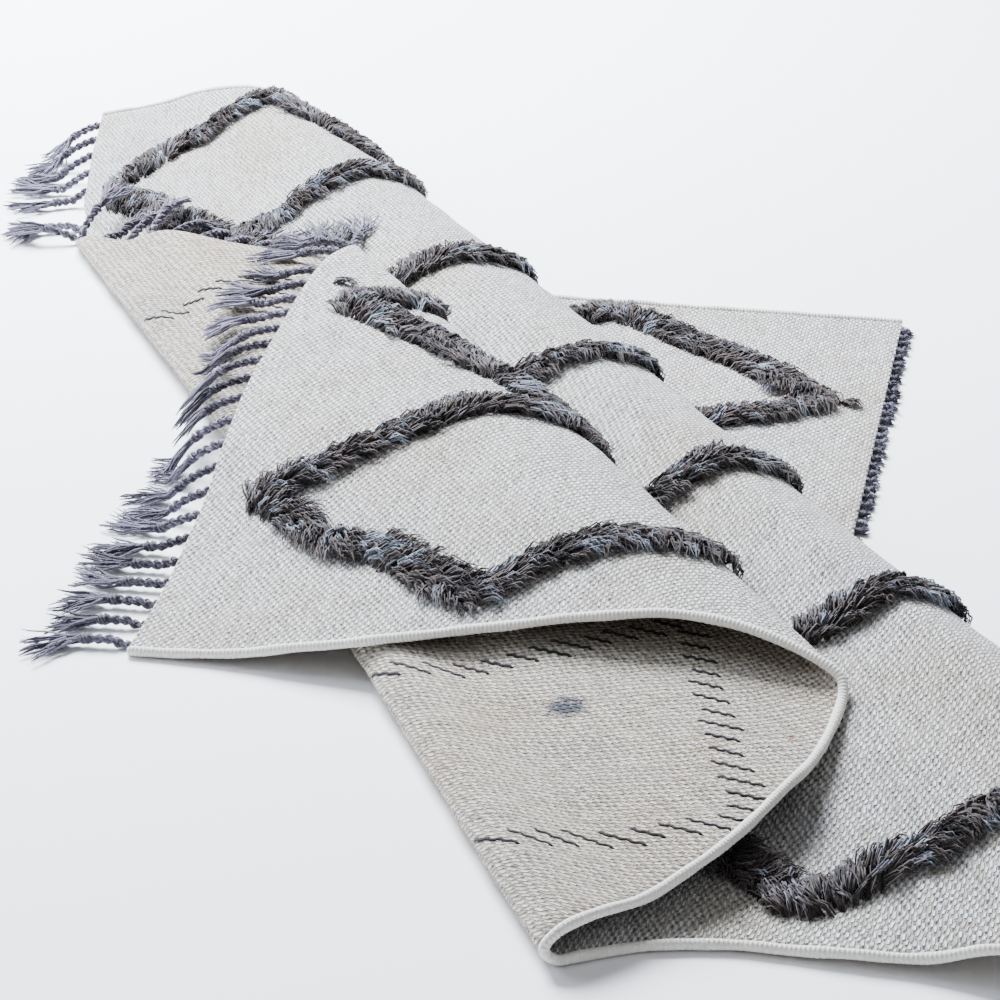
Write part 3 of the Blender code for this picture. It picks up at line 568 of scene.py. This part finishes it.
selvedge_wool = yarn_material("undyed_wool_selvedge",
                              ((0.0, "a9a295"), (0.35, "cfcabf"), (0.6, "e6e3db"), (1.0, "f3f1ec")),
                              WEFT, 0.0014)
selvedges = []
for name, v in (("selvedge_near", CORD_RADIUS), ("selvedge_far", WIDTH - CORD_RADIUS)):
    u = np.linspace(0.0, LENGTH, 640)
    path = laid(u, np.full_like(u, v), CORD_RISE)
    path = path + face_out(u, np.full_like(u, v)) * slack(u, np.full_like(u, v))[:, None]
    radii = CORD_RADIUS * (1 + 0.05 * np.sin(u * 61) + 0.04 * np.sin(u * 143 + 1) + 0.05 * np.sin(u * 1100))
    path[:, 2] = np.maximum(path[:, 2], radii + 0.0001)
    radii[[0, -1]] *= 0.6
    selvedges.append(spin(name, [(path, radii, 0.5, 0.0)], 12, selvedge_wool))
for piece in selvedges:
    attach(piece, "root")

# ==== The trellis of pile ====
# Rows of long wool locks are knotted in with the wefts, in natural charcoal, brown and blue-grey wool.
# Each lock is left 18 to 28 mm long, so it falls over and the rows lie as one shaggy band.
HALF_LONG = 0.2565      # half a diamond, along the warps
HALF_WIDE = 0.2012      # half a diamond, along the wefts
END_MARGIN = 0.059      # fringe end to the first points of the diamonds
SIDE_MARGIN = 0.048     # selvedge to the first points
DIAMONDS_LONG = 3
DIAMONDS_WIDE = 4
SHORT_LINE = (7, -1)    # one falling line stops at its second crossing
SHORT_ENDS = 0.400      # along the warps
PILE_BAND = 0.026       # width that the knots take
PILE_HIGH = 0.0165      # above the face


def pile_lines():
    """The trellis on the flat rug: every straight line as (u, v) at its two ends."""
    low, high = SIDE_MARGIN, SIDE_MARGIN + 2 * DIAMONDS_WIDE * HALF_WIDE
    span = 2 * DIAMONDS_LONG * HALF_LONG
    lines = []
    for start in range(-2 * DIAMONDS_LONG + 1, 2 * (DIAMONDS_WIDE + DIAMONDS_LONG), 2):
        for slope in (1, -1):
            def at(u, start=start, slope=slope):
                return SIDE_MARGIN + (start + slope * (u - END_MARGIN) / HALF_LONG) * HALF_WIDE
            ends = []
            for u in (END_MARGIN, END_MARGIN + span):
                if low - 1e-9 <= at(u) <= high + 1e-9:
                    ends.append((u, at(u)))
            for v in (low, high):
                u = END_MARGIN + slope * ((v - SIDE_MARGIN) / HALF_WIDE - start) * HALF_LONG
                if END_MARGIN + 1e-9 < u < END_MARGIN + span - 1e-9:
                    ends.append((u, v))
            if len(ends) == 2:
                ends = sorted(ends)
                if (start, slope) == SHORT_LINE:
                    ends[1] = (SHORT_ENDS, at(SHORT_ENDS))
                lines.append(ends)
    return lines


SAMPLE_STEP = 0.009
SAME_LAYER = 0.12       # places nearer than this on the flat rug aren't over each other


def cloth_samples():
    """The laid cloth at even steps, flat and in place, with a tree over the ground plan."""
    u, v = np.meshgrid(np.arange(0, LENGTH + 0.004, SAMPLE_STEP), np.arange(0, WIDTH + 0.004, SAMPLE_STEP),
                       indexing="ij")
    flat = np.stack([u.ravel(), v.ravel()], -1)
    place = laid(flat[:, 0], flat[:, 1])
    tree = KDTree(len(flat))
    for k, (x, y, _) in enumerate(place):
        tree.insert((x, y, 0), k)
    tree.balance()
    return tree, flat, place


SAMPLES = cloth_samples()


def room_above(base, flat_place, reach, limit=0.09):
    """The clear height over a place on the cloth, up to the lowest layer that lies over it."""
    tree, flat, place = SAMPLES
    over = [place[k][2] - base[2] for _, k, _ in tree.find_range((base[0], base[1], 0), reach)
            if place[k][2] > base[2] + 0.004 and math.dist(flat[k], flat_place) > SAME_LAYER]
    return min(over, default=limit)


LOCK_STEP = 0.0062      # from lock to lock along a line
ROWS_ACROSS = (-1.5, -0.5, 0.5, 1.5)
ROWS_SPREAD = 3.6       # rows that would fill the band
OPEN_FACE = 0.30        # a face that looks down more than this has its pile pressed flat
OPEN_ROOM = 0.030       # so has one with less than this above it
LOCK_ROOM = 0.012       # left clear under the next layer
random = np.random.default_rng(11)
locks = []
for (u0, v0), (u1, v1) in pile_lines():
    length = math.dist((u0, v0), (u1, v1))
    ahead = np.array([u1 - u0, v1 - v0]) / length
    aside = np.array([-ahead[1], ahead[0]])
    for k in range(round(length / LOCK_STEP)):
        for across in ROWS_ACROSS:
            across = across / ROWS_SPREAD * PILE_BAND + random.uniform(-0.0015, 0.0015)
            along = (k + random.uniform(0, 1)) * LOCK_STEP
            flat_place = np.array([u0, v0]) + ahead * along + aside * across
            base, out = laid(*flat_place), face_out(*flat_place)
            if out[2] < OPEN_FACE:
                continue
            room = room_above(base, flat_place, 0.010)
            if room < OPEN_ROOM:
                continue
            locks.append((flat_place, across / PILE_BAND * 2, aside, min(room - LOCK_ROOM, PILE_HIGH)))


def swirl(u, v):
    """Which way the locks lie here, in turns of the flat rug: they fall in patches."""
    return (0.35 * np.sin(2 * math.pi * (3.1 * u + 1.3 * v))
            + 0.30 * np.sin(2 * math.pi * (-2.3 * u + 4.9 * v) + 1))


def patch(u, v):
    """Slow change of the wool's shade along the bands, 0 to 1."""
    return (0.5 + 0.28 * np.sin(2 * math.pi * (11 * u + 7 * v))
            + 0.22 * np.sin(2 * math.pi * (-17 * u + 9 * v) + 2))


# Two stray tufts were knotted in on their own.
STRAY_TUFTS = ((1.620, 1.454), (0.036, 0.726))
for u, v in STRAY_TUFTS:
    locks += [(np.array([u, v]) + random.normal(0, 0.002, 2), 0.0, np.array([0.0, 1.0]), 0.009)
              for _ in range(3)]
YARNS_IN_LOCK = 7
YARN_RADIUS = 0.00088
YARN_TAPER = np.array([0.9, 1.15, 1.0, 0.25])   # from foot to tip
FOOT_SPREAD = 0.0019
TIP_SPREAD = 0.0028
BOW = 0.0020
LEAST_HEIGHT = 0.0015   # above the floor
PILE_PARTS = ("fringe_end", "near_fringe", "near_cut", "cut_end")
groups = [[] for _ in PILE_PARTS]
locks.sort(key=lambda lock: lock[0][0])
for k, (place, across, aside, high) in enumerate(locks):
    turn = 2 * math.pi * (0.06 + 0.5 * swirl(*place)) + random.normal(0, 0.35)
    lean = np.array([math.cos(turn), math.sin(turn)]) + aside * across * 0.55
    lean = lean / np.linalg.norm(lean)
    tint = float(np.clip(0.46 * random.random() + 0.22 * random.random() + 0.36 * patch(*place), 0, 1))
    long = random.uniform(0.018, 0.028)
    target = place + lean * long
    which = k * len(PILE_PARTS) // len(locks)
    for _ in range(YARNS_IN_LOCK):
        foot = place + random.normal(0, FOOT_SPREAD, 2)
        tip = target + random.normal(0, TIP_SPREAD, 2)
        peak = high * random.uniform(0.70, 1.06) * (1 - 0.35 * abs(across))
        bow = random.normal(0, BOW, 2)
        ways = np.array([foot, foot + (tip - foot) * 0.24 + bow, foot + (tip - foot) * 0.64 + bow, tip])
        ups = np.array([-0.0008, 0.70 * peak, peak * 0.95, peak * random.uniform(0.10, 0.55)]) + THICK / 2
        lie = laid(ways[:, 0], ways[:, 1]) + face_out(ways[:, 0], ways[:, 1]) * ups[:, None]
        lie[:, 2] = np.maximum(lie[:, 2], LEAST_HEIGHT)
        thin = YARN_RADIUS * random.uniform(0.75, 1.25)
        groups[which].append((lie, thin * YARN_TAPER,
                              float(np.clip(tint + random.normal(0, 0.045), 0, 1)), 0.0))
# The pile yarns are painted darker towards their roots, as shade deep in the pile.
pile_wool = yarn_material("undyed_charcoal_wool_pile",
                          ((0.0, "09090b"), (0.25, "1b181a"), (0.45, "302826"), (0.60, "4a3f3b"),
                           (0.74, "5a565b"), (0.88, "6d7580"), (1.0, "8f979f")),
                          0.0100, 0.0004, sheen=0.12, painted_root_shade=7.0)
pile = [spin("pile_" + name, group, 3, pile_wool) for name, group in zip(PILE_PARTS, groups)]
for piece in pile:
    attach(piece, "root")

# ==== The backs of the pile knots ====
# On the back each row of knots shows as one short dark zigzag, where the pile yarn passes round the warps.
# They are charcoal wool about 4 mm thick, half sunk in the cloth, 40 mm long, and a row every 17 mm.
FLOAT_LONG = 0.040
FLOAT_ROW = 0.0175
FLOAT_SHIFT = -0.042    # the yarn passes on to the next warps before it shows
FLOAT_RADIUS = 0.0019
FLOAT_RISE = 0.0004     # of the yarn's middle, above the back
FLOAT_END = 0.010       # from the selvedge, at least
ZIGZAG = NUB / 2
random = np.random.default_rng(23)
floats = []
for (u0, v0), (u1, v1) in pile_lines():
    count = round(abs(u1 - u0) / FLOAT_ROW)
    for k in range(count):
        t = (k + 0.5) / count
        u = u0 + (u1 - u0) * t
        v = v0 + (v1 - v0) * t + FLOAT_SHIFT + random.uniform(-0.003, 0.003)
        if v < 0.012:
            continue
        out = face_out(u, v)
        base = laid(u, v)
        if out[2] > 0.2 or base[2] < 0.012 or room_above(base, (u, v), 0.012) < 0.020:
            continue
        beads = round(FLOAT_LONG * random.uniform(0.8, 1.15) / ZIGZAG * 2)
        vs = v + (np.arange(beads + 1) - beads / 2) * ZIGZAG / 2
        us = u + np.where(np.arange(beads + 1) % 4 < 2, 1, -1) * 0.0009 + 0.06 * (vs - v)
        vs = np.clip(vs, FLOAT_END, WIDTH - FLOAT_END)
        lie = laid(us, vs) + face_out(us, vs) * (slack(us, vs) - THICK / 2 + FLOAT_RISE)[:, None]
        radii = np.full(len(us), FLOAT_RADIUS)
        radii[[0, -1]] = 0.0003
        floats.append((lie, radii, random.uniform(0.0, 0.30), 0.0))
knot_backs = spin("knot_backs", floats, 4, pile_wool)
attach(knot_backs, "root")

# ==== The long fringe ====
# At the first end the warps are twisted into two-ply cords, one every 40 mm, each tied in a knot
# above a loose brush of yarns. It is grey-violet natural wool, made on the loom from the warps.
CORD_PITCH = 0.0395
FIRST_CORD = 0.018      # from the corner
PLIED_RADIUS = 0.0054   # of a plied cord, over its hairs
PLY_SHARE = 0.44        # of a cord's radius, to the middle of a ply
YARN_SHARE = 0.31       # of a cord's radius, for a yarn
CORD_TURN = 0.018       # length of one turn of its twist
CORD_LONG = 0.036
KNOT_LONG = 0.014
KNOT = 0.014
KNOT_YARN = 0.0021      # radius of the yarn in a knot
BRUSH_LONG = 0.050
BRUSH = 0.021           # how far it fans out to each side
BRUSH_YARNS = 30
BRUSH_YARN = 0.00110    # radius
BRUSH_DROP = 0.0040     # how far its tips fall below the cord
SAG = 9.0               # how fast a strand turns down, per metre
STRAND_STEP = 0.004
STRAND_AIR = 0.0008     # left under a strand


def support(x, y, top):
    """The height that a strand lies on here: the highest layer under it, or the floor."""
    tree, _, place = SAMPLES
    under = [place[k][2] + THICK / 2 for _, k, _ in tree.find_range((x, y, 0), 0.010)
             if place[k][2] < top + 0.010]
    return max(under, default=0.0)


def strand_path(end, v, toward, swing, length, clear):
    """A stiff strand from the cloth's edge: it leaves along the cloth, sags, and lies on what is under it."""
    point = laid(end, v)
    heading = laid(end + toward * 0.004, v) - laid(end - toward * 0.004, v)
    heading /= np.linalg.norm(heading)
    aside = np.cross((0, 0, 1), heading)
    points = []
    for k in range(round(length / STRAND_STEP) + 2):
        points.append(point.copy())
        heading = heading + aside * swing * STRAND_STEP / 0.01 + np.array([0, 0, -SAG * STRAND_STEP])
        heading /= np.linalg.norm(heading)
        point = point + heading * STRAND_STEP
        rest = support(point[0], point[1], point[2]) + clear
        if k > 1 and point[2] < rest:
            point[2] = min(rest, point[2] + 0.8 * STRAND_STEP)
            heading[2] = max(heading[2], 0.0)
    return np.array(points)


def along_path(path, reach):
    """Place, sideways and upward directions at these distances along a strand."""
    at = np.clip(np.asarray(reach) / STRAND_STEP, 0, len(path) - 1.001)
    k = at.astype(int)
    t = (at - k)[:, None]
    centre = path[k] * (1 - t) + path[k + 1] * t
    ahead = np.gradient(path, axis=0)
    ahead = ahead[k] * (1 - t) + ahead[k + 1] * t
    ahead /= np.linalg.norm(ahead, axis=1, keepdims=True)
    sideways = np.cross((0, 0, 1), ahead)
    sideways /= np.linalg.norm(sideways, axis=1, keepdims=True)
    return centre, sideways, np.cross(ahead, sideways)


def twisted(path, start, stop, radius, turn_long, plies, yarns, random, tint):
    """A plied cord: PLIES bundles wound round each other, each of a few yarns wound the other way."""
    reach = np.linspace(start, stop, max(8, round((stop - start) / 0.0014)))
    centre, sideways, upward = along_path(path, reach)
    made = []
    phase = random.uniform(0, 2 * math.pi)
    ply_radius, yarn_radius = radius * PLY_SHARE, radius * YARN_SHARE
    for ply in range(plies):
        angle = phase + 2 * math.pi * (ply / plies + (reach - start) / turn_long)
        for k in range(yarns):
            inner = 2 * math.pi * (k / yarns - (reach - start) / (turn_long * 0.8))
            side_way = ply_radius * np.cos(angle) + ply_radius * 0.50 * np.cos(inner)
            up_way = ply_radius * np.sin(angle) + ply_radius * 0.50 * np.sin(inner)
            points = centre + sideways * side_way[:, None] + upward * up_way[:, None]
            points[:, 2] = np.maximum(points[:, 2], 1.2 * yarn_radius + 0.0002)
            shade = float(np.clip(tint + random.normal(0, 0.13), 0, 1))
            made.append((points, yarn_radius * random.uniform(0.9, 1.2), shade, random.uniform(0, 0.01)))
    return made


def knot(path, start, stop, random, tint):
    """The cord's overhand knot: loops drawn tight round it."""
    made = []
    for loop in range(3):
        reach = np.linspace(start, stop, 22)
        t = np.linspace(0, 1, 22)
        centre, sideways, upward = along_path(path, reach)
        angle = 2 * math.pi * (loop / 3 + (1.25 + 0.2 * loop) * t)
        wide = KNOT * 0.33 * np.sin(math.pi * np.clip(t, 0.06, 0.94)) ** 0.5
        points = (centre + sideways * (wide * np.cos(angle))[:, None]
                  + upward * (0.85 * wide * np.sin(angle))[:, None])
        points[:, 2] = np.maximum(points[:, 2], KNOT_YARN + 0.0001)
        # The knot's yarns are painted a tint darker, as shade among its tight loops.
        made.append((points, KNOT_YARN * np.sin(math.pi * np.clip(t, 0.12, 0.88)) ** 0.4,
                     float(np.clip(tint - 0.1 + random.normal(0, 0.1), 0, 1)), 0.0))
    return made


def brush(path, start, stop, count, spread, drop, radius, random, tint, bends=9):
    """Loose kinked yarns that fan out and fall on what lies under them."""
    made = []
    sweep = random.uniform(-0.9, 0.9)
    for k in range(count):
        long = start + (stop - start) * random.uniform(0.55, 1.10)
        t = np.linspace(0, 1, bends)
        centre, sideways, upward = along_path(path, start + (long - start) * t)
        fan = (k + 0.5) / count * 2 - 1 + random.normal(0, 0.30) + sweep * t
        kink = random.uniform(0.0008, 0.0024)
        kink = kink * np.sin(2 * math.pi * (random.uniform(1.2, 2.4) * t + random.random()))
        side_way = fan * spread * t ** 1.15 + kink
        up_way = random.normal(0, 0.0016) + 0.0007 * np.sin(7 * t + k)
        up_way = up_way - drop * t ** 0.8 * random.uniform(0.5, 1.05)
        points = centre + sideways * side_way[:, None] + upward * up_way[:, None]
        points[:, 2] = np.maximum(points[:, 2], radius + 0.0004)
        shade = float(np.clip(tint + random.normal(0, 0.17), 0, 1))
        taper = np.interp(t, (0, 0.15, 0.75, 0.9, 1), (1.1, 1.1, 1, 0.85, 0.35))
        made.append((points, radius * random.uniform(0.8, 1.2) * taper, shade, random.uniform(0, 0.01)))
    return made


fringe_wool = yarn_material("grey_violet_wool_cord",
                            ((0.0, "19171e"), (0.25, "36323d"), (0.5, "565160"), (0.75, "767183"),
                             (1.0, "9c98ab")), 0.0030, 0.0005)
FRINGE_RUNS = (("fringe_flap", 0.012, 0.81), ("fringe_roll", 0.81, 1.45),
               ("fringe_left", 1.505, WIDTH - 0.012))
for name, low, high in FRINGE_RUNS:
    low, high = low + 0.0005, high - 0.0005
    random = np.random.default_rng(int(100 * low) + 3)
    looks = np.random.default_rng(int(100 * low) + 500)
    lines = []
    for k in range(round(WIDTH / CORD_PITCH)):
        v = FIRST_CORD + k * CORD_PITCH
        if not low + 0.005 < v < high - 0.005:
            continue
        swing, long = random.uniform(-0.03, 0.03), random.uniform(0.88, 1.1)
        length = (CORD_LONG + KNOT_LONG + BRUSH_LONG) * long
        path = strand_path(0.0, v, -1, swing, length, KNOT / 2 + STRAND_AIR)
        tint = looks.uniform(0.38, 0.6)
        tied = CORD_LONG * long
        loose = (CORD_LONG + KNOT_LONG) * long
        lines += twisted(path, 0.0, tied + 0.003, PLIED_RADIUS, CORD_TURN, 2, 3, looks, tint)
        lines += knot(path, tied - 0.002, loose + 0.001, looks, tint)
        lines += brush(path, loose - 0.005, loose + BRUSH_LONG * long, BRUSH_YARNS, BRUSH, BRUSH_DROP,
                       BRUSH_YARN, looks, tint)
    piece = spin(name + "_cords", lines, 4, fringe_wool)
    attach(piece, "root")
    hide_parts(name)

# ==== The cut end ====
# At the other end the warps were cut short and turned into a row of dark loops with frayed ends,
# one every 20 mm. They are the darker warps of the same grey wool, up to 18 mm long.
STUB_LONG = 0.018
STUB_RADIUS = 0.0052    # of a loop's twist
STUB_TURN = 0.014
STUB_CLEAR = 0.0085 / 2 + STRAND_AIR    # its middle lies this far over what is under it
STUB_YARNS = 10
STUB_YARN = 0.00120     # radius
STUB_FAN = 0.0072
stub_wool = yarn_material("dark_grey_wool_warp_ends",
                          ((0.0, "1b1a24"), (0.3, "35323f"), (0.6, "534f60"), (0.85, "77768a"),
                           (1.0, "9a9db0")), 0.0030, 0.0005)
STUB_RUNS = (("stubs_ridge", 0.012, 0.535), ("stubs_floor", 0.60, WIDTH - 0.012))
for name, low, high in STUB_RUNS:
    low, high = low + 0.0005, high - 0.0005
    looks = np.random.default_rng(int(100 * low) + 900)
    lines = []
    for k in range(2 * round(WIDTH / CORD_PITCH)):
        v = FIRST_CORD + k * CORD_PITCH / 2 + looks.uniform(-0.002, 0.002)
        if not low + 0.003 < v < high - 0.003:
            continue
        swing, long = looks.uniform(-0.05, 0.05), looks.uniform(0.62, 1.0)
        path = strand_path(LENGTH - 0.002, v, 1, swing, (STUB_LONG + 0.002) * long, STUB_CLEAR)
        tint = looks.uniform(0.15, 0.6)
        lines += twisted(path, 0.0, STUB_LONG * long * 0.75, STUB_RADIUS, STUB_TURN, 2, 4, looks, tint)
        lines += brush(path, STUB_LONG * 0.3, STUB_LONG * long, STUB_YARNS, STUB_FAN, 0.0030, STUB_YARN,
                       looks, tint, 5)
    piece = spin(name + "_ends", lines, 4, stub_wool)
    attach(piece, "root")
    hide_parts(name)

# ==== The studio ====
# A plain pale floor, one large soft light high up behind, a weaker one from the left, and pale
# surroundings.
FLOOR_UP = -0.0004      # just under the rug
FLOOR_CORNERS = ((-12, -8), (12, -8), (12, 30), (-12, 30))
LAMPS = (               # name, place, turn in degrees, size, power, colour
    ("overhead", (-1.2, 2.4, 2.7), (-39, -24, 0), 2.0, 1050, "eef4ff"),
    ("left", (-3.2, 0.6, 2.2), (8, -55, 0), 1.6, 110, "e4efff"),
)
SKY = "f4f7ff"
SKY_STRENGTH = 0.42
floor_mesh = bpy.data.meshes.new("studio_floor")
floor_mesh.from_pydata([(x, y, FLOOR_UP) for x, y in FLOOR_CORNERS], [], [(0, 1, 2, 3)])
floor = bpy.data.objects.new("studio_floor", floor_mesh)
bpy.context.scene.collection.objects.link(floor)
paper = bpy.data.materials.new("pale_studio_paper")
paper.use_nodes = True
paper.node_tree.nodes["Principled BSDF"].inputs["Base Color"].default_value = linear("f9f9f9")
paper.node_tree.nodes["Principled BSDF"].inputs["Roughness"].default_value = 0.9
floor_mesh.materials.append(paper)

world = bpy.data.worlds.new("studio")
bpy.context.scene.world = world
world.use_nodes = True
world.node_tree.nodes["Background"].inputs["Color"].default_value = linear(SKY)
world.node_tree.nodes["Background"].inputs["Strength"].default_value = SKY_STRENGTH
for name, place, turn, size, power, code in LAMPS:
    lamp = bpy.data.lights.new(name, "AREA")
    lamp.size = size
    lamp.energy = power
    lamp.color = linear(code)[:3]
    light = bpy.data.objects.new(name, lamp)
    light.location = place
    light.rotation_euler = [math.radians(angle) for angle in turn]
    bpy.context.scene.collection.objects.link(light)

# The eye is 1.35 m above the floor, 3.1 m before the rug's middle, looking 24.5 degrees down.
EYE = (0.0220, -3.0762, 1.35)
LOOK_DOWN = 24.5
camera = bpy.data.objects.new("camera", bpy.data.cameras.new("camera"))
camera.data.sensor_width = 36.0
camera.data.lens = 118.49
camera.data.shift_x = -0.005
camera.location = EYE
camera.rotation_euler = (math.radians(90 - LOOK_DOWN), 0.0, 0.0)
bpy.context.scene.collection.objects.link(camera)
bpy.context.scene.camera = camera
